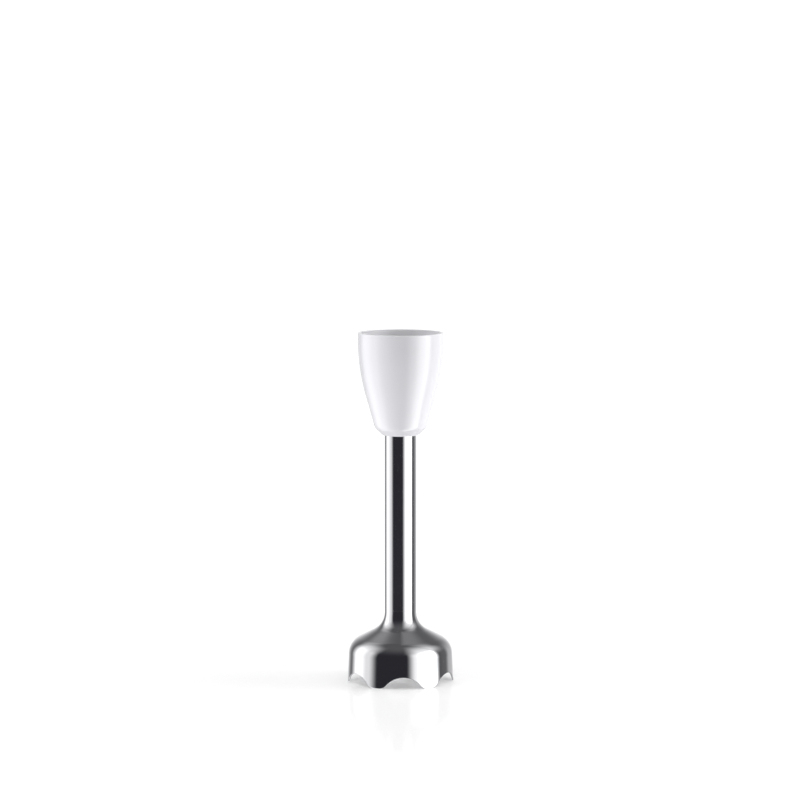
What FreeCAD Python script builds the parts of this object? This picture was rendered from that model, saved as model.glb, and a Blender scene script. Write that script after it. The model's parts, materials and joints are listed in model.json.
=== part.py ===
"""The blending shaft of an immersion blender: the foot that plugs into a hand-held motor unit.

A white coupling cup tapers down to a polished steel tube, and the tube widens into a steel bell with a
scalloped rim. A drive shaft runs down the middle on two sintered bushes, with a splined driver at the top
and a two-winged blade under the bell.

Millimetres. +Z is up and the origin is the centre of the circle on which the bell's feet stand.
"""

import FreeCAD
import Part

import math
import os

# ---------------------------------------------------------------- driving dimensions
overall_height = 214.5
slip_gap = 0.1  # between still parts that are pushed together by hand
running_gap = 0.03  # radial, between the drive shaft and its bushes
turning_gap = 0.5  # between turning and still parts that must never touch

# steel tube and bell, drawn from one gauge of sheet and butt-welded
steel_wall = 0.8
tube_radius = 9.65
bell_rim_radius = 32.5
bell_wall_height = 23.9  # foot plane to the corner of wall and roof, before rounding
bell_wall_draft = 2.5
bell_roof_slope = 27.4
bell_shoulder_round = 11.4
bell_neck_round = 11.9
weld_above_neck = 9.0  # weld seam above the corner of roof and tube

# scallops in the bell's rim
scallop_count = 6
scallop_depth = 7.1
scallop_share = 0.415  # radius of a scallop as a share of the rim's
scallop_corner_share = 0.185  # the same for the round where it runs into a foot

# coupling cup
cup_radius = 26.1
cup_length = 62.7
cup_wall = 1.8
cup_straight = 3.5  # upright stretch under the rim
cup_belly_round = 120.0
cup_belly_drop = 21.7  # rim to the corner of the upright stretch and the taper, before rounding
cup_taper = 15.9
cup_tail_land = 1.05  # flat ring round the tube at the cup's lower end
cup_tail_height = 4.5
cup_tail_round = 6.0
cup_rim_round = 0.3
cup_base_thickness = 7.0
sleeve_wall = 2.5  # sleeve in the cup that grips the tube
shelf_below_rim = 36.5  # top of that sleeve, on which the tube's flange lies
rib_thickness = 1.6

# liner of the cup, which takes the motor unit's nose
liner_wall = 1.75
liner_floor = 2.8
liner_floor_gap = 0.4  # between the liner's floor and the cup's wall
liner_lip_drop = 5.0  # the liner's lip lies this far below the cup's rim
liner_lip_height = 2.0
liner_lip_chamfer = 0.6
register_radius = 21.4  # round seat for the motor unit's nose
register_length = 10.0
register_step = 0.6
liner_waist = 16.0  # lip to where the liner starts to narrow
latch_window_width = 12.0
latch_window_height = 4.5
latch_window_drop = 3.5
key_rib_width = 3.0
key_rib_depth = 1.3
key_rib_length = 13.0
key_rib_round = 0.5

# tube flange and the screws through it
tube_flange_radius = 17.0
tube_bend_round = 0.8
screw_count = 3
screw_circle = 14.2
screw_shank_radius = 1.25
screw_clearance = 0.35
screw_length = 12.0
screw_head_radius = 2.7
screw_head_height = 1.9
screw_head_round = 1.2
screw_slot_width = 0.9
screw_slot_depth = 1.0
boss_radius = 3.0

# O-rings, drawn as squeezed
ring_squeeze_depth = 1.5  # radial depth of the groove
ring_squeeze_width = 2.2
ring_corner_round = 0.6
tube_ring_above_tail = 5.0
carrier_ring_above_weld = 5.0

# drive shaft and its bushes
shaft_radius = 2.5
shaft_tip_radius = 2.0  # lower end, which carries the blade
bush_radius = 5.0
upper_bush_length = 12.0
lower_bush_length = 14.0
clip_groove_depth = 0.6
clip_thickness = 0.6
clip_radius = 4.4
clip_mouth = 3.2
washer_radius = 5.2
washer_thickness = 0.6
axial_play = 0.15

# spindle housing: upper bearing seat with a tower round the driver
housing_plug_length = 15.0
housing_flange_radius = 11.9
housing_flange_thickness = 1.5
tower_radius = 10.2
tower_wall = 1.6
tower_height = 18.5  # above the flange

# splined driver on the drive shaft
driver_teeth = 6
driver_radius = 4.8
driver_root_radius = 3.6
driver_tooth_share = 0.46  # share of the pitch that a tooth's crest takes
driver_base_radius = 7.4
driver_base_height = 2.5
driver_height = 15.5
driver_above_clip = 1.5
driver_round = 0.35
driver_lead_in = 0.9
driver_roof = 2.0
pin_radius = 0.75

# guide that steadies the drive shaft half-way down
guide_height = 104.0
guide_length = 14.0
guide_hub_radius = 4.4
guide_rim_wall = 1.2
guide_clearance = 0.35
guide_spokes = 3
guide_spoke_width = 1.6

# lower bearing carrier, pressed into the tube from below
carrier_top_above_weld = 18.0
carrier_flange_radius = 13.2
carrier_flange_bottom = 24.0
carrier_nose_radius = 9.5
carrier_nose_bottom = 20.0
lower_bush_height = 40.0
seal_radius = 6.5
seal_height = 23.5
seal_length = 6.0
seal_skin = 1.1
seal_lip_radius = 0.05  # clearance of the lips on the shaft
seal_spring_radius = 0.45
seal_cap_wall = 0.5
seal_cap_skirt = 5.0
seal_cap_hole = 4.2

# blade and what holds it
blade_thickness = 1.5
blade_height = 11.0
blade_span_radius = 24.0
blade_root_width = 11.0
blade_tip_width = 7.0
blade_bend_radius = 8.0  # from the axis to the bend line of each wing
blade_up_angle = 13.0
blade_down_angle = 8.0
blade_bevel_width = 2.6
blade_edge_left = 0.4
blade_corner_round = 2.5
collar_radius = 4.6
slinger_radius = 7.0
slinger_thickness = 1.0
slinger_below_cap = 0.9
rivet_radius = 4.0
rivet_height = 2.4

# ---------------------------------------------------------------- places that follow from them
tube_bore = tube_radius - steel_wall
draft_run = math.tan(math.radians(bell_wall_draft))
scallop_radius = bell_rim_radius * scallop_share
scallop_corner_round = bell_rim_radius * scallop_corner_share
bell_shoulder_radius = bell_rim_radius - bell_wall_height * draft_run
roof_rise = (bell_shoulder_radius - tube_radius) * math.tan(math.radians(bell_roof_slope))
bell_neck_height = bell_wall_height + roof_rise
neck_straight_height = bell_neck_height + bell_neck_round * math.tan(math.radians(90 - bell_roof_slope) / 2)
weld_height = bell_neck_height + weld_above_neck

cup_bottom = overall_height - cup_length
shelf_height = overall_height - shelf_below_rim
flange_top = shelf_height + steel_wall
sleeve_bore = tube_radius + slip_gap
sleeve_radius = sleeve_bore + sleeve_wall

liner_top = overall_height - liner_lip_drop
liner_floor_top = flange_top + liner_floor
register_bottom = liner_top - register_length
liner_waist_height = liner_top - liner_waist

housing_flange_top = flange_top + housing_flange_thickness
tower_top = housing_flange_top + tower_height
upper_bush_top = housing_flange_top - 0.3
upper_washer_bottom = upper_bush_top + axial_play
upper_clip_bottom = upper_washer_bottom + washer_thickness + axial_play
driver_bottom = upper_clip_bottom + clip_thickness + driver_above_clip
driver_top = driver_bottom + driver_height
pin_height = driver_bottom + driver_base_height / 2

carrier_top = weld_height + carrier_top_above_weld
lower_washer_bottom = lower_bush_height + lower_bush_length + axial_play
lower_clip_bottom = lower_washer_bottom + washer_thickness + axial_play
seal_cap_bottom = carrier_nose_bottom - seal_cap_wall
slinger_top = seal_cap_bottom - slinger_below_cap
slinger_bottom = slinger_top - slinger_thickness
blade_top = blade_height + blade_thickness
rivet_bottom = blade_height - rivet_height

up = FreeCAD.Vector(0, 0, 1)
origin = FreeCAD.Vector(0, 0, 0)


# ---------------------------------------------------------------- drawing helpers
def away(a, b):
    """The unit vector from a to b, both (x, y) pairs, and their distance."""
    dx, dy = b[0] - a[0], b[1] - a[1]
    length = math.hypot(dx, dy)
    return dx / length, dy / length, length


def rounding(before, corner, after, radius):
    """Where an arc of that radius leaves and rejoins the two sides of a corner, and its middle point."""
    ux, uy, _ = away(corner, before)
    vx, vy, _ = away(corner, after)
    half = math.acos(max(-1.0, min(1.0, ux * vx + uy * vy))) / 2
    reach = radius / math.tan(half)
    bx, by, _ = away((0, 0), (ux + vx, uy + vy))
    to_arc = radius / math.sin(half) - radius
    start = (corner[0] + ux * reach, corner[1] + uy * reach)
    middle = (corner[0] + bx * to_arc, corner[1] + by * to_arc)
    end = (corner[0] + vx * reach, corner[1] + vy * reach)
    return start, middle, end


def beside(corners, distance):
    """The corners of a line that runs `distance` to the left of an open line, with concentric roundings."""
    shifted = []
    for i, corner in enumerate(corners):
        sides = []
        if i > 0:
            sides.append(away(corners[i - 1], corner))
        if i < len(corners) - 1:
            sides.append(away(corner, corners[i + 1]))
        normals = [(-uy, ux) for ux, uy, _ in sides]
        nx = sum(n[0] for n in normals)
        ny = sum(n[1] for n in normals)
        scale = 2 * distance / (nx * nx + ny * ny) if len(normals) == 2 else distance
        turn = sides[0][0] * sides[-1][1] - sides[0][1] * sides[-1][0]
        radius = corner[2] if len(corner) > 2 else 0
        if radius:
            radius = max(0, radius - math.copysign(distance, turn))
        shifted.append((corner[0] + nx * scale, corner[1] + ny * scale, radius))
    return shifted


def face(corners, place):
    """A face with these corners, which `place` puts in space. A third number rounds its corner."""
    stops = []
    for i, corner in enumerate(corners):
        before, after = corners[i - 1], corners[(i + 1) % len(corners)]
        radius = corner[2] if len(corner) > 2 else 0
        stops.append(rounding(before, corner, after, radius) if radius else (corner, None, corner))
    edges = []
    for i, (start, middle, end) in enumerate(stops):
        if middle:
            edges.append(Part.Arc(place(*start[:2]), place(*middle), place(*end[:2])).toShape())
        following = stops[(i + 1) % len(stops)][0]
        if away(end, following)[2] > 1e-6:
            edges.append(Part.LineSegment(place(*end[:2]), place(*following[:2])).toShape())
    return Part.Face(Part.Wire(edges))


def upright(r, z):
    return FreeCAD.Vector(r, 0, z)


def level(x, y):
    return FreeCAD.Vector(x, y, 0)


def turned(corners):
    """A solid of revolution about Z from (radius, height) corners."""
    return face(corners, upright).revolve(origin, up, 360)


def pressed_sheet(corners, wall):
    """A solid of revolution made of sheet whose outer skin is the open line of corners."""
    return turned(corners + beside(corners, wall)[::-1])


def rod(radius, bottom, top, x=0.0, y=0.0):
    return Part.makeCylinder(radius, top - bottom, FreeCAD.Vector(x, y, bottom))


def ring(inner, outer, bottom, top):
    return rod(outer, bottom, top).cut(rod(inner, bottom, top))


def block(x, y, z):
    """A box from its (low, high) pairs."""
    size = (x[1] - x[0], y[1] - y[0], z[1] - z[0])
    return Part.makeBox(*size, FreeCAD.Vector(x[0], y[0], z[0]))


def spun(shape, angle):
    copy = shape.copy()
    copy.rotate(origin, up, angle)
    return copy


def around(shape, count, first=0.0):
    """Copies of a shape spaced evenly about Z."""
    return [spun(shape, first + 360 / count * k) for k in range(count)]


def squeezed_ring(inner, outer, middle):
    """An O-ring as it lies in its groove: flattened against both walls, with rounded corners."""
    low, high = middle - ring_squeeze_width / 2, middle + ring_squeeze_width / 2
    corners = [(inner, low), (outer, low), (outer, high), (inner, high)]
    return turned([(*corner, ring_corner_round) for corner in corners])


# ---------------------------------------------------------------- steel tube and bell
def bell_line(bottom, top):
    """The bell's outer skin between two heights: drafted wall, rounded shoulder, sloping roof and neck."""
    return [
        (bell_rim_radius - bottom * draft_run, bottom),
        (bell_shoulder_radius, bell_wall_height, bell_shoulder_round),
        (tube_radius, bell_neck_height, bell_neck_round),
        (tube_radius, top),
    ]


def bell():
    """Deep-drawn bell that ends at the weld seam. It starts below the foot plane and is trimmed to it."""
    shell = pressed_sheet(bell_line(-steel_wall, weld_height), steel_wall)
    return shell.cut(around(scallop_cutter(), scallop_count, -90))


def scallop_cutter():
    """A bar along +X that trims the bell to the foot plane and cuts one scallop into it."""
    inside = bell_rim_radius / 2
    half_width = bell_rim_radius * math.sin(math.pi / scallop_count) * 1.2
    bar = block((inside, inside + bell_rim_radius), (-half_width, half_width), (-scallop_depth, 0))
    centre = FreeCAD.Vector(inside, 0, scallop_depth - scallop_radius)
    scallop = Part.makeCylinder(scallop_radius, bell_rim_radius, centre, FreeCAD.Vector(1, 0, 0))
    under = (-2 * scallop_radius, -scallop_depth / 2)
    scallop = scallop.cut(block((0, 2 * bell_rim_radius), (-half_width, half_width), under))
    cutter = bar.fuse(scallop).removeSplitter()
    on_foot_plane = [edge for edge in cutter.Edges if all(abs(v.Z) < 1e-6 for v in edge.Vertexes)]
    where_they_meet = [
        edge
        for edge in on_foot_plane
        if abs(edge.Vertexes[0].X - edge.Vertexes[1].X) > 1 and abs(edge.Vertexes[0].Y) < half_width - 1e-6
    ]
    return cutter.makeFillet(scallop_corner_round, where_they_meet)


def shaft_tube():
    """Steel tube from the weld seam up to a flange that the screws pass through."""
    line = [
        (tube_radius, weld_height),
        (tube_radius, shelf_height, tube_bend_round),
        (tube_flange_radius, shelf_height),
    ]
    return pressed_sheet(line, steel_wall).cut(screw_holes(screw_shank_radius + screw_clearance))


def screw_holes(radius):
    hole = rod(radius, cup_bottom, liner_floor_top + liner_floor, x=screw_circle)
    return Part.makeCompound(around(hole, screw_count, 90))


# ---------------------------------------------------------------- coupling cup and liner
def cup_line():
    """The cup's outer skin, tube to rim. A shorter cup keeps its upper part, which holds the liner."""
    taper = math.radians(cup_taper)
    belly_height = overall_height - cup_belly_drop
    heel_height = cup_bottom + cup_tail_height
    heel_radius = cup_radius - (belly_height - heel_height) * math.tan(taper)
    longest_round = (cup_belly_drop - cup_straight) / math.tan(taper / 2)
    return [
        (tube_radius + cup_tail_land, cup_bottom),
        (heel_radius, heel_height, cup_tail_round),
        (cup_radius, belly_height, min(cup_belly_round, longest_round)),
        (cup_radius, overall_height),
    ]


def cup_space(inset, bottom, top):
    """A solid that fills the cup's outer shape, less `inset`, between two heights."""
    line = beside(cup_line(), inset) if inset else cup_line()
    filled = turned(line + [(0, line[-1][1]), (0, line[0][1])])
    return filled.common(rod(2 * cup_radius, bottom, top))


def coupling_cup():
    """Moulded cup: a thin wall, and inside it a sleeve for the tube with ribs and screw bosses."""
    line = cup_line()
    rim = (*line[-1][:2], cup_rim_round)
    shell = turned(line[:-1] + [rim, (0, overall_height), (0, cup_bottom)])
    pocket_floor = cup_bottom + cup_base_thickness
    hollow = cup_space(cup_wall, pocket_floor, overall_height + 1)
    hollow = hollow.fuse(rod(cup_radius - cup_wall, overall_height - cup_straight, overall_height + 1))
    core = rod(sleeve_radius, pocket_floor, shelf_height)
    boss = rod(boss_radius, pocket_floor, shelf_height, x=screw_circle)
    half_rib = rib_thickness / 2
    rib = block((sleeve_bore, cup_radius), (-half_rib, half_rib), (pocket_floor, shelf_height))
    inner_works = core.fuse(around(boss, screw_count, 90) + around(rib, 2 * screw_count, 90))
    inner_works = inner_works.common(cup_space(cup_wall / 2, cup_bottom, shelf_height))
    body = shell.cut(hollow).fuse(inner_works)
    mouth = tube_bend_round + slip_gap
    mouth_bottom = FreeCAD.Vector(0, 0, shelf_height - mouth)
    bore = rod(sleeve_bore, cup_bottom - 1, shelf_height + 1)
    bore = bore.fuse(Part.makeCone(sleeve_bore, sleeve_bore + mouth, mouth, mouth_bottom))
    groove_low = cup_bottom + tube_ring_above_tail - ring_squeeze_width / 2
    groove = rod(tube_radius + ring_squeeze_depth, groove_low, groove_low + ring_squeeze_width)
    pilot = rod(screw_shank_radius, liner_floor_top - screw_length - 1, shelf_height + 1, x=screw_circle)
    body = body.cut([bore, groove] + around(pilot, screw_count, 90))
    return body.removeSplitter()


def tube_o_ring():
    """Seals the cup's sleeve on the tube."""
    return squeezed_ring(tube_radius, tube_radius + ring_squeeze_depth, cup_bottom + tube_ring_above_tail)


def liner_floor_radius():
    """Outer radius of the liner's floor, which sits in the tapering part of the cup."""
    _, heel, belly, _ = cup_line()
    slope = (belly[0] - heel[0]) / (belly[1] - heel[1])
    across = (cup_wall + liner_floor_gap) * math.hypot(1, slope)
    return heel[0] + (flange_top - heel[1]) * slope - across


def socket_liner():
    """White insert in the cup: a lip, a register for the motor unit's nose, latch windows and a floor."""
    floor_outer = liner_floor_radius()
    waist_inner = register_radius - register_step
    waist_outer = waist_inner + liner_wall
    lip_outer = cup_radius - cup_wall - slip_gap
    hub_hole = tower_radius + slip_gap
    body = turned(
        [
            (hub_hole, flange_top),
            (floor_outer, flange_top, 0.5),
            (waist_outer, liner_waist_height, 3.0),
            (waist_outer, liner_top - liner_lip_height),
            (lip_outer, liner_top - liner_lip_height),
            (lip_outer, liner_top, 0.4),
            (register_radius + liner_lip_chamfer, liner_top),
            (register_radius, liner_top - liner_lip_chamfer),
            (register_radius, register_bottom),
            (waist_inner, register_bottom),
            (waist_inner, liner_waist_height, 3.0),
            (floor_outer - liner_wall, liner_floor_top, 1.2),
            (hub_hole, liner_floor_top),
        ]
    )
    rib_reach = waist_inner - key_rib_depth
    rib_top = register_bottom - register_step
    half_rib = key_rib_width / 2
    rib = block((rib_reach, waist_outer), (-half_rib, half_rib), (rib_top - key_rib_length, rib_top))
    rib = rib.makeFillet(key_rib_round, upright_edges(rib, rib_reach))
    outside = rod(waist_outer - slip_gap, flange_top, liner_top)
    windows = block(
        (-cup_radius, cup_radius),
        (-latch_window_width / 2, latch_window_width / 2),
        (liner_top - latch_window_drop - latch_window_height, liner_top - latch_window_drop),
    )
    flange_seat = rod(housing_flange_radius + slip_gap, flange_top - 1, housing_flange_top + slip_gap)
    body = body.fuse([piece.common(outside) for piece in around(rib, 2, 90)])
    body = body.common(cup_space(cup_wall + slip_gap, flange_top, liner_top))
    body = body.cut([windows, flange_seat, screw_holes(screw_shank_radius + screw_clearance)])
    return body.removeSplitter()


def upright_edges(shape, x):
    """The upright edges of a box on its face at this x."""
    on_face = [edge for edge in shape.Edges if all(abs(v.X - x) < 1e-6 for v in edge.Vertexes)]
    return [edge for edge in on_face if abs(edge.Vertexes[0].Z - edge.Vertexes[1].Z) > 1e-6]


def socket_screws():
    """Three pan-head screws that clamp the liner and the tube's flange to the cup."""
    tip = liner_floor_top - screw_length
    screw = turned(
        [
            (0, tip),
            (screw_shank_radius, tip + screw_shank_radius),
            (screw_shank_radius, liner_floor_top),
            (screw_head_radius, liner_floor_top),
            (screw_head_radius, liner_floor_top + screw_head_height, screw_head_round),
            (0, liner_floor_top + screw_head_height),
        ]
    )
    arm = screw_head_radius * 0.62
    width = screw_slot_width / 2
    slot_floor = liner_floor_top + screw_head_height - screw_slot_depth
    above = liner_floor_top + screw_head_height + 1
    cross = block((-arm, arm), (-width, width), (slot_floor, above))
    screw = screw.cut([cross, spun(cross, 90)])
    screw.translate(FreeCAD.Vector(screw_circle, 0, 0))
    return Part.makeCompound(around(screw, screw_count, 90))


# ---------------------------------------------------------------- still parts of the bearings
def spindle_housing():
    """Plug in the top of the tube that holds the upper bush, with a tower round the driver."""
    plug_bottom = flange_top - housing_plug_length
    tower_bore = tower_radius - tower_wall
    bush_bottom = upper_bush_top - upper_bush_length
    return turned(
        [
            (shaft_radius + turning_gap, plug_bottom),
            (tube_bore, plug_bottom, 0.8),
            (tube_bore, flange_top - 2.5),
            (tube_bore - 0.4, flange_top - 2.0),
            (tube_bore - 0.4, flange_top),
            (housing_flange_radius, flange_top),
            (housing_flange_radius, housing_flange_top),
            (tower_radius, housing_flange_top),
            (tower_radius, tower_top, 0.6),
            (tower_bore, tower_top, 0.6),
            (tower_bore, upper_bush_top, 0.4),
            (bush_radius, upper_bush_top),
            (bush_radius, bush_bottom),
            (shaft_radius + turning_gap, bush_bottom),
        ]
    )


def bush(bottom, length):
    """Sintered sleeve bearing with broken edges."""
    top = bottom + length
    bore = shaft_radius + running_gap
    edge = 0.3
    return turned(
        [
            (bore + edge, bottom),
            (bush_radius - edge, bottom),
            (bush_radius, bottom + edge),
            (bush_radius, top - edge),
            (bush_radius - edge, top),
            (bore + edge, top),
            (bore, top - edge),
            (bore, bottom + edge),
        ]
    )


def shaft_guide():
    """Spoked plastic spider that keeps the long drive shaft from whipping in the tube."""
    low, high = guide_height, guide_height + guide_length
    hub = ring(shaft_radius + guide_clearance, guide_hub_radius, low, high)
    rim = ring(tube_bore - guide_rim_wall, tube_bore, low, high)
    half = guide_spoke_width / 2
    spoke = block((guide_hub_radius - 0.5, tube_bore - guide_rim_wall / 2), (-half, half), (low, high))
    return hub.fuse([rim] + around(spoke, guide_spokes)).removeSplitter()


def lower_bearing_carrier():
    """Moulded carrier pressed up into the neck of the bell: bush above, seal below, O-ring groove outside."""
    low_ring = weld_height + carrier_ring_above_weld - ring_squeeze_width / 2
    high_ring = low_ring + ring_squeeze_width
    groove_radius = tube_bore - ring_squeeze_depth
    bush_seat_top = lower_bush_height + lower_bush_length
    clip_room = bush_radius + 1.5
    body = turned(
        [
            (seal_radius, carrier_nose_bottom),
            (carrier_nose_radius, carrier_nose_bottom, 0.4),
            (carrier_nose_radius, carrier_flange_bottom),
            (carrier_flange_radius, carrier_flange_bottom, 0.6),
            (carrier_flange_radius, neck_straight_height),
            (tube_bore, neck_straight_height),
            (tube_bore, low_ring),
            (groove_radius, low_ring),
            (groove_radius, high_ring),
            (tube_bore, high_ring),
            (tube_bore, carrier_top, 0.8),
            (clip_room, carrier_top, 0.5),
            (clip_room, bush_seat_top),
            (bush_radius, bush_seat_top),
            (bush_radius, lower_bush_height),
            (shaft_radius + turning_gap, lower_bush_height),
            (shaft_radius + turning_gap, seal_height + seal_length),
            (seal_radius, seal_height + seal_length),
        ]
    )
    return body.common(bell_hollow())


def bell_hollow():
    """The room inside the bell, with a slip gap under the roof, and inside the tube, with none."""
    top = carrier_top + 1
    roof = turned([(0, 0)] + beside(bell_line(0, top), steel_wall + slip_gap) + [(0, top)])
    return roof.fuse(rod(tube_bore, neck_straight_height, top))


def carrier_o_ring():
    """Seals the carrier in the tube."""
    return squeezed_ring(tube_bore - ring_squeeze_depth, tube_bore, weld_height + carrier_ring_above_weld)


def seal_spring_place():
    return shaft_radius + seal_lip_radius + seal_skin + seal_spring_radius, seal_height + 1.9


def shaft_seal():
    """Rubber lip seal: an outer band, a web at the top and a lip that leans on the shaft."""
    lip = shaft_radius + seal_lip_radius
    spring_circle, spring_height = seal_spring_place()
    top = seal_height + seal_length
    body = turned(
        [
            (seal_radius, seal_height),
            (seal_radius, top),
            (lip + 0.5, top),
            (lip + 0.5, top - seal_skin),
            (lip, spring_height, 0.3),
            (lip + 0.6, seal_height + 0.4),
            (spring_circle - seal_spring_radius * 0.2, spring_height - seal_spring_radius),
            (spring_circle - seal_spring_radius * 0.2, spring_height + seal_spring_radius),
            (spring_circle + 0.1, top - seal_skin - 0.6, 0.4),
            (seal_radius - seal_skin, top - seal_skin - 0.6, 0.4),
            (seal_radius - seal_skin, seal_height),
        ]
    )
    return body.cut(seal_spring())


def seal_spring():
    """Garter spring that hugs the seal's lip."""
    circle, height = seal_spring_place()
    return Part.makeTorus(circle, seal_spring_radius, FreeCAD.Vector(0, 0, height))


def seal_cap():
    """Pressed steel cap over the carrier's nose that keeps the seal in."""
    outer = carrier_nose_radius + seal_cap_wall
    line = [
        (seal_cap_hole, seal_cap_bottom),
        (outer, seal_cap_bottom, 0.9),
        (outer, seal_cap_bottom + seal_cap_skirt - 1.2),
    ]
    return pressed_sheet(line, seal_cap_wall)


# ---------------------------------------------------------------- turning parts
def drive_shaft():
    """Ground steel rod with two clip grooves, a cross hole for the driver's pin and a stepped lower end."""
    groove_radius = shaft_radius - clip_groove_depth
    shaft_top = driver_top - driver_roof
    shaft = turned(
        [
            (0, rivet_bottom + 0.6),
            (shaft_tip_radius, rivet_bottom + 0.6),
            (shaft_tip_radius, blade_top),
            (shaft_radius, blade_top),
            (shaft_radius, lower_clip_bottom),
            (groove_radius, lower_clip_bottom),
            (groove_radius, lower_clip_bottom + clip_thickness),
            (shaft_radius, lower_clip_bottom + clip_thickness),
            (shaft_radius, upper_clip_bottom),
            (groove_radius, upper_clip_bottom),
            (groove_radius, upper_clip_bottom + clip_thickness),
            (shaft_radius, upper_clip_bottom + clip_thickness),
            (shaft_radius, shaft_top - 0.4),
            (shaft_radius - 0.4, shaft_top),
            (0, shaft_top),
        ]
    )
    return shaft.cut(driver_pin())


def shaft_clip(bottom):
    """C-shaped retaining clip in a groove of the drive shaft."""
    inner = shaft_radius - clip_groove_depth
    body = ring(inner, clip_radius, bottom, bottom + clip_thickness)
    half = clip_mouth / 2
    return body.cut(block((0, 2 * clip_radius), (-half, half), (bottom - 1, bottom + 2)))


def thrust_washer(bottom):
    return ring(shaft_radius + slip_gap, washer_radius, bottom, bottom + washer_thickness)


def drive_coupling():
    """Splined driver that the motor unit turns: a round base, six teeth with a lead-in, and a blind bore."""
    pitch = 2 * math.pi / driver_teeth
    crest = pitch * driver_tooth_share / 2
    root = pitch / 2 - crest * 1.25
    corners = []
    for k in range(driver_teeth):
        middle = k * pitch
        for radius, angle in (
            (driver_radius, middle - crest),
            (driver_radius, middle + crest),
            (driver_root_radius, middle + pitch / 2 - root / 2),
            (driver_root_radius, middle + pitch / 2 + root / 2),
        ):
            corners.append((radius * math.cos(angle), radius * math.sin(angle), driver_round))
    teeth = face(corners, level).extrude(FreeCAD.Vector(0, 0, driver_height - driver_base_height))
    teeth.translate(FreeCAD.Vector(0, 0, driver_bottom + driver_base_height))
    envelope = turned(
        [
            (0, driver_bottom),
            (driver_radius + 1, driver_bottom),
            (driver_radius + 1, driver_top - driver_lead_in - 1),
            (driver_radius - driver_lead_in, driver_top),
            (0, driver_top),
        ]
    )
    base = turned(
        [
            (0, driver_bottom),
            (driver_base_radius, driver_bottom, 0.3),
            (driver_base_radius, driver_bottom + driver_base_height, 0.5),
            (0, driver_bottom + driver_base_height),
        ]
    )
    bore = rod(shaft_radius, driver_bottom - 1, driver_top - driver_roof)
    return teeth.common(envelope).fuse(base).cut([bore, driver_pin()]).removeSplitter()


def driver_pin():
    """Cross pin that locks the driver to the drive shaft."""
    half = driver_base_radius - 0.6
    return Part.makeCylinder(
        pin_radius, 2 * half, FreeCAD.Vector(-half, 0, pin_height), FreeCAD.Vector(1, 0, 0)
    )


def slinger():
    """Disc that throws liquid away from the seal."""
    return turned(
        [
            (shaft_radius, slinger_bottom),
            (slinger_radius, slinger_bottom, 0.3),
            (slinger_radius, slinger_top, 0.3),
            (shaft_radius, slinger_top),
        ]
    )


def blade_collar():
    """Spacer between the slinger and the blade."""
    return turned(
        [
            (shaft_radius, blade_top),
            (collar_radius, blade_top, 0.4),
            (collar_radius, slinger_bottom, 0.4),
            (shaft_radius, slinger_bottom),
        ]
    )


def wing(bend_angle):
    """One wing of the blade along +X: flat to the bend line, then tilted, with a bevelled leading edge."""
    start = blade_bend_radius
    root, tip = blade_root_width / 2, blade_tip_width / 2
    outline = [
        (start - 0.01, -root * 0.92),
        (blade_span_radius, -tip, blade_corner_round),
        (blade_span_radius, tip * 0.7, blade_corner_round),
        (start - 0.01, root * 0.92),
    ]
    plate = face(outline, level).extrude(FreeCAD.Vector(0, 0, blade_thickness))
    ux, uy, length = away(outline[0], outline[1])
    bevel_angle = math.degrees(math.atan2(blade_thickness - blade_edge_left, blade_bevel_width))
    wedge = block((-1, length + 2), (-blade_bevel_width, 0), (0, blade_thickness * 2))
    wedge.translate(FreeCAD.Vector(0, blade_bevel_width, 0))
    wedge.rotate(FreeCAD.Vector(0, blade_bevel_width, 0), FreeCAD.Vector(1, 0, 0), bevel_angle)
    wedge.translate(FreeCAD.Vector(0, 0, blade_thickness))
    wedge.rotate(origin, up, math.degrees(math.atan2(uy, ux)))
    wedge.translate(FreeCAD.Vector(outline[0][0], outline[0][1], 0))
    plate = plate.cut(wedge)
    plate.rotate(FreeCAD.Vector(start, 0, blade_thickness / 2), FreeCAD.Vector(0, 1, 0), -bend_angle)
    return plate


def blade():
    """Stamped two-winged blade: one wing leans up, the other down."""
    half, reach = blade_root_width / 2, blade_bend_radius
    corners = [(-reach, -half * 0.92), (0, -half), (reach, -half * 0.92)]
    corners += [(reach, half * 0.92), (0, half), (-reach, half * 0.92)]
    hub = face(corners, level).extrude(FreeCAD.Vector(0, 0, blade_thickness))
    bend = Part.makeCylinder(
        blade_thickness / 2,
        blade_root_width * 0.92,
        FreeCAD.Vector(reach, -half * 0.92, blade_thickness / 2),
        FreeCAD.Vector(0, 1, 0),
    )
    up_wing, down_wing = wing(blade_up_angle), spun(wing(-blade_down_angle), 180)
    body = hub.fuse([up_wing, down_wing, bend, spun(bend, 180)])
    body.translate(FreeCAD.Vector(0, 0, blade_height))
    return body.cut(rod(shaft_tip_radius, blade_height - 5, blade_top + 5)).removeSplitter()


def blade_rivet():
    """Domed rivet that is spun over the shaft's end and holds the blade."""
    body = turned(
        [
            (0, rivet_bottom),
            (rivet_radius * 0.55, rivet_bottom, 1.0),
            (rivet_radius, blade_height - 0.9, 0.6),
            (rivet_radius, blade_height),
            (0, blade_height),
        ]
    )
    return body.cut(rod(shaft_tip_radius, rivet_bottom + 0.6, blade_height + 1))


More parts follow.
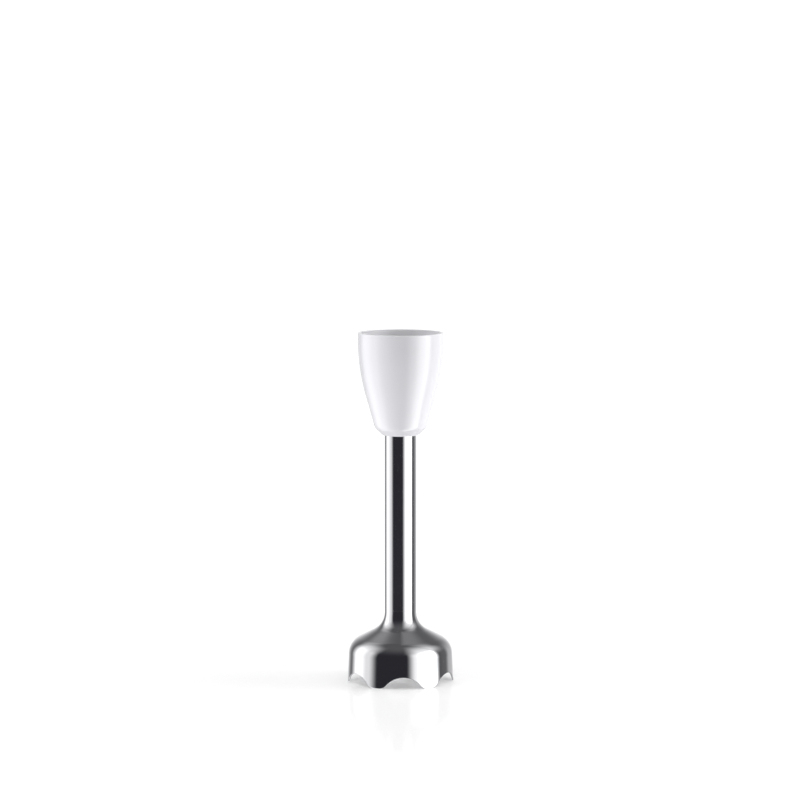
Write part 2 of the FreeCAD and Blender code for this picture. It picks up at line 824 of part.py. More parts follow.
# ---------------------------------------------------------------- every part to its own file
parts = {
    "coupling_cup": coupling_cup(),
    "socket_liner": socket_liner(),
    "socket_screws": socket_screws(),
    "tube_o_ring": tube_o_ring(),
    "shaft_tube": shaft_tube(),
    "bell": bell(),
    "spindle_housing": spindle_housing(),
    "upper_bush": bush(upper_bush_top - upper_bush_length, upper_bush_length),
    "shaft_guide": shaft_guide(),
    "lower_bearing_carrier": lower_bearing_carrier(),
    "carrier_o_ring": carrier_o_ring(),
    "lower_bush": bush(lower_bush_height, lower_bush_length),
    "shaft_seal": shaft_seal(),
    "seal_spring": seal_spring(),
    "seal_cap": seal_cap(),
    "drive_shaft": drive_shaft(),
    "drive_coupling": drive_coupling(),
    "driver_pin": driver_pin(),
    "upper_thrust_washer": thrust_washer(upper_washer_bottom),
    "upper_clip": shaft_clip(upper_clip_bottom),
    "lower_thrust_washer": thrust_washer(lower_washer_bottom),
    "lower_clip": shaft_clip(lower_clip_bottom),
    "slinger": slinger(),
    "blade_collar": blade_collar(),
    "blade": blade(),
    "blade_rivet": blade_rivet(),
}

os.makedirs("parts", exist_ok=True)
for name, shape in parts.items():
    solids = shape.Solids
    assert solids and all(s.isValid() for s in solids), name
    shape.exportStep(f"parts/{name}.step")
    print(f"{name:24s} {len(solids)} solid(s) {shape.Volume / 1000:8.3f} cm3")
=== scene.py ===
"""Blending shaft of an immersion blender: a white coupling cup on a polished steel tube and bell, standing
on a round light table in a white studio. Metres, +Z up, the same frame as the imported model."""

import json
import math

import bmesh
import bpy
import numpy as np
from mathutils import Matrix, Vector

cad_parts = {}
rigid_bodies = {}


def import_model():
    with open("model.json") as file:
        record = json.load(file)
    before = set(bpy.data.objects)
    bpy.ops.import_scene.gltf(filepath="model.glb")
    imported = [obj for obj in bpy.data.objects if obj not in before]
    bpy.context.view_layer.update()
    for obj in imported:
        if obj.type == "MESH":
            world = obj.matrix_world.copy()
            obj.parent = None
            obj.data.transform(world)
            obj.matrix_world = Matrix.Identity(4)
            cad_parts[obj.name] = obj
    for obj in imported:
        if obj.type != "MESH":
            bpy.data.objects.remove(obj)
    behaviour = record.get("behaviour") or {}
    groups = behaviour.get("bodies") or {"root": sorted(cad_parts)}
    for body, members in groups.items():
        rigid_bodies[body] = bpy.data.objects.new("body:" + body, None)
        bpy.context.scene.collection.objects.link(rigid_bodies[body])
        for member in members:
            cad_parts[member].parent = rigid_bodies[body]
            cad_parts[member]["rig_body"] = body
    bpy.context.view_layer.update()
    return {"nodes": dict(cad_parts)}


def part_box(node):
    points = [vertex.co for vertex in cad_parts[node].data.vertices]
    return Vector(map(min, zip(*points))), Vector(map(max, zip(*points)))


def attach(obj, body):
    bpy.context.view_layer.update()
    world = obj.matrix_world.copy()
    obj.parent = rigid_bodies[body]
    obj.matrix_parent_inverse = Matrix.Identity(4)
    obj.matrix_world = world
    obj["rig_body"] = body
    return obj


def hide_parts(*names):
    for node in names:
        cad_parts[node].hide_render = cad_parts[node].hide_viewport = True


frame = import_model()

mm = 0.001
cad = frame["nodes"]

# ---------------------------------------------------------------- camera
# A long lens about two metres away and a little above the cup, so that only a sliver of the cup's mouth
# shows. It stands a few degrees to the left of the middle of the front scallop.
view_turn = math.radians(-3.0)
view_tilt = math.radians(5.765)
view_distance = 2033.05 * mm
view_height = 378.47 * mm
view_side = -0.31 * mm

lens = bpy.data.cameras.new("studio_camera")
lens.sensor_width = 36.0
lens.lens = 150.65
lens.clip_start = 0.05
lens.clip_end = 50.0
camera = bpy.data.objects.new("studio_camera", lens)
bpy.context.scene.collection.objects.link(camera)
camera.location = (
    view_distance * math.sin(view_turn) + view_side * math.cos(view_turn),
    -view_distance * math.cos(view_turn) + view_side * math.sin(view_turn),
    view_height,
)
camera.rotation_euler = (math.pi / 2 - view_tilt, 0, view_turn)
bpy.context.scene.camera = camera


# ---------------------------------------------------------------- light table
# The plain pale floor: a round table half a metre across with a sheet of white acrylic on it, lit a little
# from below, so that the bell throws only a faint shadow. The sheet's gloss shows the foot of the bell,
# very faintly.
def linear(colour):
    """sRGB hex to linear light: each channel c becomes ((c + 0.055) / 1.055) ** 2.4, or c / 12.92 when it
    is dark."""
    srgb = np.array([int(colour[i : i + 2], 16) for i in (1, 3, 5)]) / 255
    values = np.where(srgb > 0.04045, ((srgb + 0.055) / 1.055) ** 2.4, srgb / 12.92)
    return (*values.tolist(), 1.0)


def add(tree, kind, inputs=None, **settings):
    """Adds a node, sets its properties, and sets or links its inputs. A linked input is (node, output)."""
    node = tree.nodes.new(kind)
    for name, value in settings.items():
        setattr(node, name, value)
    for name, value in (inputs or {}).items():
        if isinstance(value, tuple) and isinstance(value[0], bpy.types.Node):
            tree.links.new(value[0].outputs[value[1]], node.inputs[name])
        else:
            node.inputs[name].default_value = value
    return node


def new_material(name, **shader_inputs):
    """A material whose Principled shader has these values. Returns it with its tree and shader."""
    material = bpy.data.materials.new(name)
    material.use_nodes = True
    tree = material.node_tree
    tree.nodes.clear()
    shader = add(tree, "ShaderNodeBsdfPrincipled", {k.replace("_", " "): v for k, v in shader_inputs.items()})
    add(tree, "ShaderNodeOutputMaterial", {"Surface": (shader, "BSDF")})
    return material, tree, shader


def grid_mesh(name, points, wrap_rows=False, wrap_columns=False):
    """A mesh from a (rows, columns, 3) array. Each face joins neighbours (i, j), (i, j+1), (i+1, j+1) and
    (i+1, j), and either direction may wrap round to its start."""
    rows, columns = points.shape[:2]
    i = np.arange(rows if wrap_rows else rows - 1)[:, None]
    j = np.arange(columns if wrap_columns else columns - 1)[None, :]
    next_i, next_j = (i + 1) % rows, (j + 1) % columns
    corners = [i * columns + j, i * columns + next_j, next_i * columns + next_j, next_i * columns + j]
    faces = np.stack([np.broadcast_to(c, (len(i), j.shape[1])) for c in corners], axis=-1).reshape(-1, 4)
    mesh = bpy.data.meshes.new(name)
    mesh.vertices.add(rows * columns)
    mesh.vertices.foreach_set("co", points.reshape(-1))
    mesh.loops.add(faces.size)
    mesh.loops.foreach_set("vertex_index", faces.reshape(-1))
    mesh.polygons.add(len(faces))
    mesh.polygons.foreach_set("loop_start", np.arange(len(faces)) * 4)
    mesh.update(calc_edges=True)
    mesh.polygons.foreach_set("use_smooth", np.ones(len(faces), dtype=bool))
    mesh.validate()
    return mesh


def show(name, mesh, material):
    """An object at the origin that holds the mesh and its one material."""
    thing = bpy.data.objects.new(name, mesh)
    bpy.context.scene.collection.objects.link(thing)
    mesh.materials.append(material)
    return thing


# White cast acrylic with a polished face: chalk white, with a pale mirror image of what stands on it.
table_glow_strength, table_gloss_share, table_gloss_roughness = 0.29, 0.14, 0.1
acrylic, tree, shader = new_material(
    "white_acrylic",
    Base_Color=linear("#F4F4F4"),
    Roughness=0.9,
    Specular_IOR_Level=0.0,
    Emission_Color=linear("#FFFFFF"),
    Emission_Strength=table_glow_strength,
)
face = add(
    tree, "ShaderNodeBsdfAnisotropic", {"Color": linear("#FFFFFF"), "Roughness": table_gloss_roughness}
)
sheet_look = add(
    tree, "ShaderNodeMixShader", {"Fac": table_gloss_share, 1: (shader, "BSDF"), 2: (face, "BSDF")}
)
tree.links.new(sheet_look.outputs[0], tree.nodes["Material Output"].inputs["Surface"])
turn = np.linspace(0, 2 * np.pi, 97)[:-1]
reach = np.array([250, 100, 50, 20, 0])[:, None] * mm
sheet = np.stack([reach * np.cos(turn), reach * np.sin(turn), 0 * reach * turn], axis=-1)
light_table = show("light_table", grid_mesh("light_table", sheet, wrap_columns=True), acrylic)
light_table.visible_glossy = False

# ---------------------------------------------------------------- studio room, seen only in gloss
# What polished steel mirrors: a tall white panel at each side that fades towards its top, a low white wall
# behind, a grey haze above and beside that wall, darkness round the camera, and the panels again in the
# table below. It lights nothing by itself. Every level is linear, and 1 is pure white.
azimuth_deg = np.linspace(-180, 180, 721)[None, :]
rise_deg = np.concatenate([np.linspace(-90, -21, 24), np.linspace(-20, 70, 361), np.linspace(71, 90, 20)])
rise_deg = rise_deg[:, None]


def ease(low, high, x):
    """Smooth step: 3t^2 - 2t^3, where t runs from 0 at low to 1 at high."""
    t = np.clip((x - low) / (high - low), 0, 1)
    return t * t * (3 - 2 * t)


def band(where, begin, full, fade, end):
    """A soft-edged panel: a smooth step up from begin to full, and a smooth step down from fade to end."""
    return ease(begin, full, where) * (1 - ease(fade, end, where))


# Each panel has a level, then the degrees at which it begins, is full, fades and ends: round the object
# from the camera's side, or up from the horizon. A side panel is one shape low down and another higher up,
# and its share says how far the low one still holds at a height.
left_low = 0.95 * band(azimuth_deg, -140, -116, -76, -52) + 0.5 * band(azimuth_deg, -128, -110, -100, -80)
left_high = 0.86 * band(azimuth_deg, -150, -108, -96, -44) * (1 - ease(40, 72, rise_deg))
left_share = 1 - ease(24, 46, rise_deg)
right_low = 1.25 * band(azimuth_deg, 13, 36, 86, 98) + 2.1 * band(azimuth_deg, 34, 62, 80, 91)
right_high = 1.16 * band(azimuth_deg, 6, 56, 74, 110) * (1 - ease(36, 88, rise_deg))
right_share = 1 - ease(22, 44, rise_deg)
back_left = 0.9 * (1 - ease(-182, -134, azimuth_deg))
back_right = 0.44 * ease(118, 138, azimuth_deg) + 0.42 * ease(148, 182, azimuth_deg)
back_wall = (back_left + back_right) * (1 - ease(-2, 38, rise_deg))
left_haze = 0.12 * (1 - ease(-150, -117, azimuth_deg)) + 0.17 * band(azimuth_deg, -162, -144, -142, -124)
left_haze = left_haze * band(rise_deg, 30, 47, 52, 68)
right_haze = 0.52 * band(azimuth_deg, 85, 99, 102, 132) * band(rise_deg, 12, 46, 47, 84)
far_haze = 0.13 * band(azimuth_deg, 100, 122, 170, 184) + 0.12 * band(azimuth_deg, 112, 124, 126, 144)
far_haze = far_haze * band(rise_deg, 44, 62, 64, 86)

# Between the panels the room is dark: darkest round the camera, greyer to the sides and towards the ceiling.
sides = ease(60, 120, np.abs(azimuth_deg))
overhead = ease(20, 76, rise_deg)
front_dark, ceiling_dark = 0.028, 0.085
side_dark, side_fall = 0.15, 0.04
brightness = left_low * left_share + left_high * (1 - left_share)
brightness = brightness + right_low * right_share + right_high * (1 - right_share)
brightness = brightness + back_wall + left_haze + right_haze + far_haze
brightness = brightness + (1 - sides) * (front_dark + ceiling_dark * overhead)
brightness = brightness + sides * (side_dark - side_fall * overhead)
table = ease(-9, -18, rise_deg)
table_glow = 0.22 + 0.25 * ease(20, 180, np.abs(azimuth_deg)) + 0.9 * (left_low + right_low)
brightness = brightness * (1 - table) + table_glow * table

room_radius = 6.0
blue_cast = 0.0065
around = np.radians(azimuth_deg) + view_turn
up = np.radians(rise_deg)
room = room_radius * np.stack(
    [np.cos(up) * np.sin(around), -np.cos(up) * np.cos(around), np.sin(up) + 0 * around], axis=-1
)
room_mesh = grid_mesh("studio_room", room[:, ::-1])
glow_attribute = room_mesh.attributes.new("glow", "FLOAT_COLOR", "POINT")
glow_colour = np.stack([brightness, brightness, brightness + blue_cast, 1 + 0 * brightness], axis=-1)[:, ::-1]
glow_attribute.data.foreach_set("color", glow_colour.reshape(-1).astype(np.float32))
glow = bpy.data.materials.new("studio_panels")
glow.use_nodes = True
glow.node_tree.nodes.clear()
level = add(glow.node_tree, "ShaderNodeAttribute", attribute_name="glow")
lamp = add(glow.node_tree, "ShaderNodeEmission", {"Color": (level, "Color"), "Strength": 1.0})
add(glow.node_tree, "ShaderNodeOutputMaterial", {"Surface": (lamp, "Emission")})
glow.cycles.emission_sampling = "NONE"
studio_room = show("studio_room", room_mesh, glow)
for ray in ["camera", "diffuse", "transmission", "volume_scatter", "shadow"]:
    setattr(studio_room, "visible_" + ray, False)

# ---------------------------------------------------------------- studio light
# Soft light: a white surround behind everything, a very broad overhead light, and a panel at each side that
# stands level with the shaft, so that it shades the cup and hardly touches the table.
world = bpy.data.worlds.new("white_surround")
world.use_nodes = True
bpy.context.scene.world = world
world.node_tree.nodes.clear()
path = add(world.node_tree, "ShaderNodeLightPath")
strength = add(
    world.node_tree, "ShaderNodeMapRange", {"Value": (path, "Is Camera Ray"), "To Min": 0.02, "To Max": 1.4}
)
sky = add(world.node_tree, "ShaderNodeBackground", {"Strength": (strength, "Result")})
add(world.node_tree, "ShaderNodeOutputWorld", {"Surface": (sky, "Background")})


def light(kind, name, power, direction_deg, rise_deg, distance=1.5, size=1.0):
    """A soft light that looks at the middle of the object from a direction counted from the camera's side."""
    data = bpy.data.lights.new(name, kind)
    data.energy = power
    if kind == "AREA":
        data.size = size
    else:
        data.angle = math.radians(size)
    thing = bpy.data.objects.new(name, data)
    bpy.context.scene.collection.objects.link(thing)
    turn_to, lift = math.radians(direction_deg) + view_turn, math.radians(rise_deg)
    way = np.array([math.cos(lift) * math.sin(turn_to), -math.cos(lift) * math.cos(turn_to), math.sin(lift)])
    thing.location = way * distance + np.array([0, 0, 0.11])
    thing.rotation_euler = (math.pi / 2 - lift, 0, turn_to)
    thing.visible_glossy = False
    return thing


light("SUN", "overhead_light", 2.2, 0, 90, size=120)
light("AREA", "right_panel", 26, 90, -1, size=1.0)
light("AREA", "left_panel", 17, -62, -1, size=0.7)
bpy.context.scene.view_settings.view_transform = "Standard"


# ---------------------------------------------------------------- coupling cup
# A white cup moulded in ABS from a mould that is polished outside and spark-eroded inside. It slides over
# the tube from below, and its rim takes the motor unit's housing. It is shown as one turned skin.
def rounded(corners, closed=False, guard=0.04, step=3.0):
    """A line through (r, z) corners in mm, where a third number rounds a corner: the arc runs from
    centre + a to centre + b, and each of its points is centre + (a sin((1 - s) turn) + b sin(s turn)) /
    sin(turn), for s from 0 to 1. Straight stretches get a point `guard` mm from each end, which keeps smooth
    shading flat along them."""
    count = len(corners)
    pieces = []
    for k, corner in enumerate(corners):
        here = np.array(corner[:2])
        radius = corner[2] if len(corner) > 2 else 0
        if radius and (closed or 0 < k < count - 1):
            before = np.array(corners[k - 1][:2]) - here
            after = np.array(corners[(k + 1) % count][:2]) - here
            before, after = before / np.linalg.norm(before), after / np.linalg.norm(after)
            half = np.arccos(np.clip(before @ after, -1, 1)) / 2
            start, end = here + before * radius / np.tan(half), here + after * radius / np.tan(half)
            middle = here + (before + after) / np.linalg.norm(before + after) * radius / np.sin(half)
            turn_by = np.pi - 2 * half
            share = np.linspace(0, 1, max(6, int(turn_by * 14), int(turn_by * radius / 1.0)))[:, None]
            a, b = start - middle, end - middle
            arc = middle + (np.sin((1 - share) * turn_by) * a + np.sin(share * turn_by) * b) / np.sin(turn_by)
            pieces.append(arc)
        else:
            pieces.append(here[None, :])
    line = []
    for k, piece in enumerate(pieces):
        line.append(piece)
        if k == count - 1 and not closed:
            break
        start, end = piece[-1], pieces[(k + 1) % count][0]
        length = np.linalg.norm(end - start)
        if length < 1e-6:
            continue
        near = min(guard / length, 0.25)
        inner = np.linspace(near, 1 - near, max(2, int(length / step) + 1))
        line.append(start + (end - start) * inner[:, None])
    return np.concatenate(line) * mm


def turned(name, line, material, closed=False, columns=192):
    """A surface of revolution about Z: the point (r, z) of the line goes round to (r cos t, r sin t, z).
    A line that runs anticlockwise in (r, z) faces outwards."""
    t = np.linspace(0, 2 * np.pi, columns + 1)[:-1]
    radius, height = line[:, :1], line[:, 1:]
    points = np.stack([radius * np.cos(t), radius * np.sin(t), height + 0 * t], axis=-1)
    return show(name, grid_mesh(name, points, wrap_rows=closed, wrap_columns=True), material)


# Moulded ABS from a polished mould: clear, slightly wavy mirror images over a cool white, with faint flow
# marks about 22 mm long.
cup_plastic, tree, shader = new_material(
    "glossy_moulded_abs", Base_Color=linear("#F0EFF4"), Roughness=0.08, IOR=1.56, Specular_IOR_Level=0.75
)
place = add(tree, "ShaderNodeTexCoord")
flow_mark = 22.22 * mm
flow = add(
    tree, "ShaderNodeTexNoise", {"Vector": (place, "Object"), "Scale": 1 / flow_mark, "Detail": 2.0}
)
tint = add(
    tree, "ShaderNodeMix", {0: (flow, "Fac"), 6: linear("#EEEDF2"), 7: linear("#F1F1F5")}, data_type="RGBA"
)
bump = add(tree, "ShaderNodeBump", {"Height": (flow, "Fac"), "Strength": 0.08, "Distance": 0.05 * mm})
tree.links.new(tint.outputs[2], shader.inputs["Base Color"])
tree.links.new(bump.outputs["Normal"], shader.inputs["Normal"])
cup = turned(
    "cup_skin",
    rounded(
        [
            (9.75, 151.8, 0.2),
            (10.70, 151.8, 0.35),
            (15.70, 156.3, 6.0),
            (26.10, 192.8, 120.0),
            (26.10, 214.5, 0.3),
            (24.30, 214.5, 0.3),
            (24.30, 193.05, 118.2),
            (14.54, 158.8, 1.0),
            (12.25, 158.8, 0.5),
            (12.25, 178.0, 0.2),
            (9.75, 178.0, 0.2),
        ],
        closed=True,
    ),
    cup_plastic,
    closed=True,
)
# The same ABS from a spark-eroded mould: an even satin without mirror images. It goes on every face of the
# skin that looks towards the axis: those whose normal and place, both seen from above, point against each
# other.
satin_inside, tree, shader = new_material(
    "eroded_moulded_abs", Base_Color=linear("#F2F1F5"), Roughness=0.45, IOR=1.53
)
cup.data.materials.append(satin_inside)
middle, facing = np.zeros((2, len(cup.data.polygons), 3))
cup.data.polygons.foreach_get("center", middle.reshape(-1))
cup.data.polygons.foreach_get("normal", facing.reshape(-1))
inward = (middle * facing)[:, :2].sum(axis=1) < -0.2 * np.linalg.norm(middle[:, :2], axis=1)
cup.data.polygons.foreach_set("material_index", inward.astype(np.int32))
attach(cup, "shell")
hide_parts("coupling_cup")


# ---------------------------------------------------------------- liner of the cup
# A white insert moulded in satin ABS, dropped into the cup from above and held by three screws. Its upper
# bore takes the motor unit's nose, and two windows take its latches.
def finished(node, material, crease_deg=30):
    """A copy of a CAD node with its loose triangles joined, so that round faces shade smoothly and corners
    stay crisp."""
    mesh = cad[node].data.copy()
    shape = bmesh.new()
    shape.from_mesh(mesh)
    bmesh.ops.remove_doubles(shape, verts=shape.verts, dist=0.0005 * mm)
    shape.to_mesh(mesh)
    shape.free()
    if "custom_normal" in mesh.attributes:
        mesh.attributes.remove(mesh.attributes["custom_normal"])
    mesh.polygons.foreach_set("use_smooth", np.ones(len(mesh.polygons), dtype=bool))
    mesh.set_sharp_from_angle(angle=math.radians(crease_deg))
    mesh.materials.clear()
    copy = show(node + "_finished", mesh, material)
    even = copy.modifiers.new("even_shading", "WEIGHTED_NORMAL")
    even.keep_sharp = True
    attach(copy, cad[node]["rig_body"])
    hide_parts(node)
    return copy


def grain(tree, shader, size, depth, share=1.0, stretch=(1, 1, 1), detail=3.0):
    """Fine relief: noise whose lumps are `size` mm across and `depth` mm high, stretched along the axes."""
    place = add(tree, "ShaderNodeTexCoord")
    per_metre = [s / (size * mm) for s in stretch]
    scale = add(tree, "ShaderNodeMapping", {"Vector": (place, "Object"), "Scale": per_metre})
    lumps = add(tree, "ShaderNodeTexNoise", {"Vector": (scale, "Vector"), "Scale": 1.0, "Detail": detail})
    bump = add(tree, "ShaderNodeBump", {"Height": (lumps, "Fac"), "Strength": share, "Distance": depth * mm})
    tree.links.new(bump.outputs["Normal"], shader.inputs["Normal"])
    return lumps


def shades(tree, shader, lumps, dark, pale):
    """Colour that drifts between two hex colours with the noise."""
    mix = add(tree, "ShaderNodeMix", {0: (lumps, "Fac"), 6: linear(dark), 7: linear(pale)}, data_type="RGBA")
    tree.links.new(mix.outputs[2], shader.inputs["Base Color"])


# Moulded ABS from an eroded mould: white and satin, with a grain of about a third of a millimetre.
liner_plastic, tree, shader = new_material("satin_moulded_abs", Roughness=0.42, IOR=1.53)
shades(tree, shader, grain(tree, shader, 0.35, 0.006, 0.5), "#E7E7E8", "#EDEDED")
finished("socket_liner", liner_plastic)

# ---------------------------------------------------------------- screws in the liner's floor
# Zinc-plated pan-head screws for plastic, driven down into the cup's bosses.
# Bright zinc plate over cold-headed steel: a soft bluish metal shine, a little cloudy.
zinc, tree, shader = new_material("zinc_plate", Metallic=1.0, Roughness=0.28)
shades(tree, shader, grain(tree, shader, 0.25, 0.002, 0.4), "#A9ABAC", "#C9CBCC")
finished("socket_screws", zinc)

# ---------------------------------------------------------------- steel tube
# Drawn stainless tube, polished bright round its axis. Its upper end is flanged under the liner, and its
# lower end is welded to the bell and ground flush.
def wiped(tree, shader, clear, hazy):
    """Roughness that drifts from `clear` to `hazy` in cloth marks about 17 mm across. Returns the marks."""
    place = add(tree, "ShaderNodeTexCoord")
    cloth_mark = 16.67 * mm
    marks = add(
        tree, "ShaderNodeTexNoise", {"Vector": (place, "Object"), "Scale": 1 / cloth_mark, "Detail": 4.0}
    )
    haze = add(
        tree,
        "ShaderNodeMapRange",
        {"Value": (marks, "Fac"), "From Min": 0.35, "From Max": 0.75, "To Min": clear, "To Max": hazy},
    )
    tree.links.new(haze.outputs["Result"], shader.inputs["Roughness"])
    return marks


# Stainless steel buffed round the tube: mirror images with soft edges, drawn out by lines too fine to tell
# apart.
polished_steel, tree, shader = new_material("polished_stainless_steel", Metallic=1.0, Roughness=0.1)
grain(tree, shader, 0.12, 0.0004, 0.25, stretch=(0.03, 0.03, 1.0))
shades(tree, shader, wiped(tree, shader, 0.085, 0.115), "#DADADD", "#E2E2E4")
tube = turned(
    "tube_skin",
    rounded(
        [
            (9.65, 44.23),
            (9.65, 178.0, 0.8),
            (17.0, 178.0, 0.1),
            (17.0, 178.8, 0.1),
            (8.85, 178.8, 1.6),
            (8.85, 44.23),
        ],
        closed=True,
    ),
    polished_steel,
    closed=True,
)
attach(tube, "shell")
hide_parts("shaft_tube")

# ---------------------------------------------------------------- bell
# Deep-drawn stainless bell with six scallops nibbled into its rim, polished all over, its cut edge rounded
# by the polishing. It guards the blade and lets food in and out. Stainless steel after a last polish:
# sharper mirror images than the tube's, with a breath of haze.
mirror_steel, tree, shader = new_material("mirror_polished_stainless_steel", Metallic=1.0, Roughness=0.06)
shades(tree, shader, wiped(tree, shader, 0.05, 0.07), "#DBDBDD", "#E0E0E2")
scallop_depth, scallop_radius, scallop_corner = 7.1, 13.49, 6.01
rim_radius, draft = 32.5, math.tan(math.radians(2.5))
sheet_wall, edge_round = 0.8, 0.28
rows_on_wall, wall_top = 16, 13.0


def rim_height(side):
    """Height of the rim where the flat cutter's section is `side` mm from its middle: a circle of the
    scallop's radius in the middle, then an arc of the corner's radius that bends the other way down to the
    foot plane, then zero."""
    circle_middle = scallop_depth - scallop_radius
    corner_side = math.sqrt((scallop_radius + scallop_corner) ** 2 - (scallop_corner - circle_middle) ** 2)
    join = corner_side * scallop_radius / (scallop_radius + scallop_corner)
    away = np.abs(side)
    circle = circle_middle + np.sqrt(np.maximum(scallop_radius**2 - away**2, 0))
    corner = scallop_corner - np.sqrt(np.maximum(scallop_corner**2 - (corner_side - away) ** 2, 0))
    return np.where(away < join, circle, np.where(away < corner_side, corner, 0.0))


def bell_skin():
    """Rows follow the wall's section from the weld down the inside, round the cut edge and up the outside.
    Near the rim each row keeps its share of the height between the rim, which changes with the angle, and a
    level above it."""
    outside = rounded(
        [
            (rim_radius - wall_top * draft, wall_top),
            (31.457, 23.9, 11.4),
            (9.65, 35.21, 11.9),
            (9.65, 44.23),
        ],
        step=1.0,
    ) / mm
    inside = rounded(
        [
            (rim_radius - sheet_wall / math.cos(math.atan(draft)) - wall_top * draft, wall_top),
            (30.25, 23.3, 10.6),
            (8.85, 34.42, 12.7),
            (8.85, 44.23),
        ],
        step=1.0,
    ) / mm
    angle = np.linspace(0, 2 * np.pi, 577)[:-1]
    from_scallop = (angle + np.pi / 2 + np.pi / 6) % (np.pi / 3) - np.pi / 6
    share = np.concatenate([np.linspace(0, 0.06, 5)[:-1], np.linspace(0.06, 1, rows_on_wall)])[:, None]

    def wall(base_radius):
        edge = rim_height(base_radius * np.sin(from_scallop))[None, :] + edge_round
        height = edge + share * (wall_top - edge)
        return base_radius - height * draft, height

    outer_r, outer_z = wall(rim_radius)
    inner_r, inner_z = wall(rim_radius - sheet_wall)
    across = np.linspace(0, 1, 13)[1:-1, None]
    outer_edge = rim_height(rim_radius * np.sin(from_scallop))[None, :]
    turn_in = np.minimum(1, 2 * np.minimum(across, 1 - across) * (sheet_wall / 2) / edge_round)
    edge_z = outer_edge + edge_round * (1 - np.sqrt(1 - (1 - turn_in) ** 2))
    edge_r = rim_radius - sheet_wall + across * sheet_wall - edge_z * draft
    full = np.ones((1, len(angle)))
    radius = np.concatenate(
        [inside[::-1, :1] * full, inner_r[::-1][1:], edge_r, outer_r[:-1], outside[:, :1] * full]
    )
    height = np.concatenate(
        [inside[::-1, 1:] * full, inner_z[::-1][1:], edge_z, outer_z[:-1], outside[:, 1:] * full]
    )
    points = np.stack([radius * np.cos(angle), radius * np.sin(angle), height], axis=-1) * mm
    return show("bell_skin", grid_mesh("bell_skin", points, wrap_rows=True, wrap_columns=True), mirror_steel)


bell = bell_skin()
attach(bell, "shell")
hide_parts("bell")

# ---------------------------------------------------------------- spindle housing and guide
# The housing is a grey glass-filled moulding in the tube's flared mouth, with a tower round the driver. The
# guide is a spoked ring of natural acetal half-way down the tube. Glass-filled nylon as moulded: mid grey
# and dull, its skin slightly rough from the fibres.
housing_plastic, tree, shader = new_material("grey_moulded_nylon", Roughness=0.5, IOR=1.53)
shades(tree, shader, grain(tree, shader, 0.3, 0.008, 0.6), "#B4B5B6", "#C2C3C4")
finished("spindle_housing", housing_plastic)
# Natural acetal, turned or moulded: warm white with a waxy sheen.
guide_plastic, tree, shader = new_material("natural_acetal", Roughness=0.38, IOR=1.48)
shades(tree, shader, grain(tree, shader, 0.4, 0.004, 0.4), "#E6E3DA", "#EEECE5")


def recoat(node, material):
    """Gives a CAD node that keeps its own shape a better material."""
    for place_on_node in cad[node].material_slots:
        place_on_node.material = material


recoat("shaft_guide", guide_plastic)

# ---------------------------------------------------------------- sintered bushes and thrust washers
# Oil-filled sintered bronze, dull and finely pored, pressed into housing and carrier. The washers are
# turned acetal. Sintered bronze as pressed: a brown metal with the dull speckle of its pores, drawn about
# 0.12 mm wide.
bronze, tree, shader = new_material("sintered_bronze", Metallic=1.0, Roughness=0.42)
shades(tree, shader, grain(tree, shader, 0.12, 0.01, 0.8), "#8A6A3E", "#B08B55")
recoat("upper_bush", bronze)
recoat("lower_bush", bronze)
recoat("upper_thrust_washer", guide_plastic)
recoat("lower_thrust_washer", guide_plastic)

# ---------------------------------------------------------------- lower bearing carrier
# A dark grey moulding pressed up into the bell's neck. It seats the lower bush above and the seal below.
# Glass-filled nylon as moulded, dyed dark grey: the same dull skin as the housing's.
carrier_plastic, tree, shader = new_material("dark_moulded_nylon", Roughness=0.48, IOR=1.53)
shades(tree, shader, grain(tree, shader, 0.3, 0.008, 0.6), "#3A3B3D", "#46474A")
finished("lower_bearing_carrier", carrier_plastic)

# ---------------------------------------------------------------- rubber seals
# Two black nitrile O-rings and a brown fluoro rubber lip seal, all moulded and slightly dull.
# Moulded nitrile rubber: near black, with a broad soft highlight.
nitrile, tree, shader = new_material("nitrile_rubber", Roughness=0.55, IOR=1.52)
shades(tree, shader, grain(tree, shader, 0.2, 0.004, 0.5), "#1C1C1D", "#262627")
recoat("tube_o_ring", nitrile)
recoat("carrier_o_ring", nitrile)
# Moulded fluoro rubber: reddish brown, slightly waxy.
fluoro, tree, shader = new_material("fluoro_rubber", Roughness=0.5, IOR=1.42)
shades(tree, shader, grain(tree, shader, 0.2, 0.004, 0.5), "#4A2A1E", "#5C3628")
finished("shaft_seal", fluoro)

# ---------------------------------------------------------------- garter spring of the seal
# A coil of bright wire closed into a ring, which hugs the seal's lip.
# Cold-drawn spring wire: a bright metal with a slightly broken shine.
wire, tree, shader = new_material("bright_drawn_wire", Metallic=1.0, Roughness=0.2)
shades(tree, shader, grain(tree, shader, 0.1, 0.001, 0.3), "#AFAFB2", "#CDCDD0")


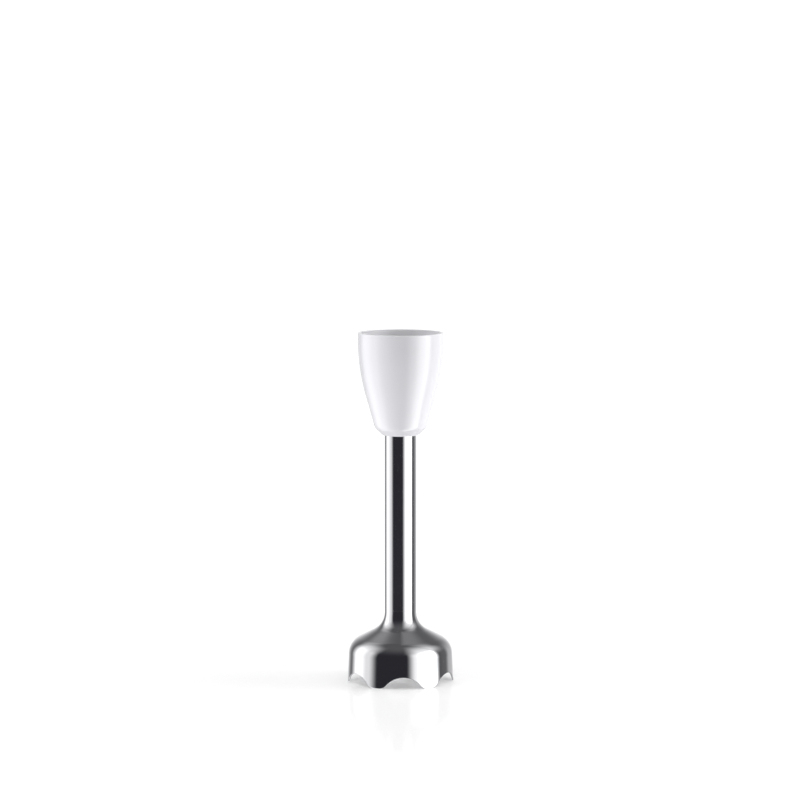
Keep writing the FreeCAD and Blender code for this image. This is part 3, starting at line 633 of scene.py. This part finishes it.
def garter_spring():
    """A tube round a helix that is bent into a ring: the wire's centre goes round the ring once while it
    circles the ring's section `coils` times."""
    ring_low, ring_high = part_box("seal_spring")
    middle = (ring_low[2] + ring_high[2]) / 2
    section = (ring_high[2] - ring_low[2]) / 2
    circle = ring_high[0] - section
    wire_radius, coils = section * 0.28, 56
    t = np.linspace(0, 2 * np.pi, coils * 12 + 1)[:-1][:, None]
    s = np.linspace(0, 2 * np.pi, 7)[:-1][None, :]
    coil = section - wire_radius
    out = np.concatenate([np.cos(t), np.sin(t), 0 * t], axis=1)
    top = np.array([0.0, 0.0, 1.0])
    centre = out * (circle + coil * np.cos(coils * t)) + top * (middle + coil * np.sin(coils * t))
    along = np.roll(centre, -1, axis=0) - np.roll(centre, 1, axis=0)
    along /= np.linalg.norm(along, axis=1, keepdims=True)
    spoke = out * np.cos(coils * t) + top * np.sin(coils * t)
    side = np.cross(along, spoke)
    points = centre[:, None] + wire_radius * (
        spoke[:, None] * np.cos(s)[..., None] - side[:, None] * np.sin(s)[..., None]
    )
    return show("garter_spring", grid_mesh("garter_spring", points, wrap_rows=True, wrap_columns=True), wire)


spring = garter_spring()
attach(spring, "shell")
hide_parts("seal_spring")

# ---------------------------------------------------------------- seal cap
# Pressed stainless cap, snapped over the carrier's nose to hold the seal.
finished("seal_cap", polished_steel)

# ---------------------------------------------------------------- drive shaft, clips and pin
# Centreless-ground steel rod with two spring-steel clips in its grooves and a cross pin through its head.
# Centreless-ground steel: bright, with fine rings round its axis that stretch each highlight along it.
ground_steel, tree, shader = new_material("ground_steel", Metallic=1.0, Roughness=0.2)
shades(tree, shader, grain(tree, shader, 0.1, 0.001, 0.5, stretch=(0.1, 0.1, 1.0)), "#A8A8AB", "#C2C2C4")
finished("drive_shaft", ground_steel)
recoat("upper_clip", wire)
recoat("lower_clip", wire)
recoat("driver_pin", wire)

# ---------------------------------------------------------------- splined driver
# Black glass-filled nylon, moulded on a steel shaft's head and cross-pinned. Six teeth mesh with the motor
# unit. Black glass-filled nylon as moulded: dull black with a grey bloom where light grazes it.
driver_plastic, tree, shader = new_material("black_glass_filled_nylon", Roughness=0.45, IOR=1.53)
shades(tree, shader, grain(tree, shader, 0.3, 0.01, 0.6), "#202123", "#2C2D2F")
finished("drive_coupling", driver_plastic)

# ---------------------------------------------------------------- slinger and collar
# The slinger is a turned acetal disc that throws liquid off the seal. The collar is turned steel.
finished("slinger", guide_plastic)
finished("blade_collar", ground_steel)

# ---------------------------------------------------------------- blade and rivet
# Stainless blade, stamped, bent and ground to an edge along each leading side, with a domed rivet spun over
# it. Stamped and ground stainless sheet: a greyer shine than the bell's, drawn out along the blade.
blade_steel, tree, shader = new_material("stamped_stainless_steel", Metallic=1.0, Roughness=0.24)
shades(tree, shader, grain(tree, shader, 0.15, 0.002, 0.6, stretch=(0.05, 1.0, 1.0)), "#B4B4B7", "#CFCFD1")
finished("blade", blade_steel)
finished("blade_rivet", ground_steel)

# ---------------------------------------------------------------- what the bell's roof doesn't mirror
# The roof of the bell shows the room alone. The tube, the cup and all that they hide are left out of every
# mirror image, which keeps the roof and the table clean.
drawn_again = ["socket_liner", "socket_screws", "spindle_housing", "lower_bearing_carrier"]
drawn_again += ["drive_shaft", "drive_coupling"]
kept_as_built = ["tube_o_ring", "upper_bush", "shaft_guide", "carrier_o_ring", "lower_bush", "driver_pin"]
kept_as_built += ["upper_thrust_washer", "upper_clip", "lower_thrust_washer", "lower_clip"]
hidden_pieces = [bpy.data.objects[node + "_finished"] for node in drawn_again]
hidden_pieces += [cad[node] for node in kept_as_built]
for thing in [cup, tube] + hidden_pieces:
    thing.visible_glossy = False
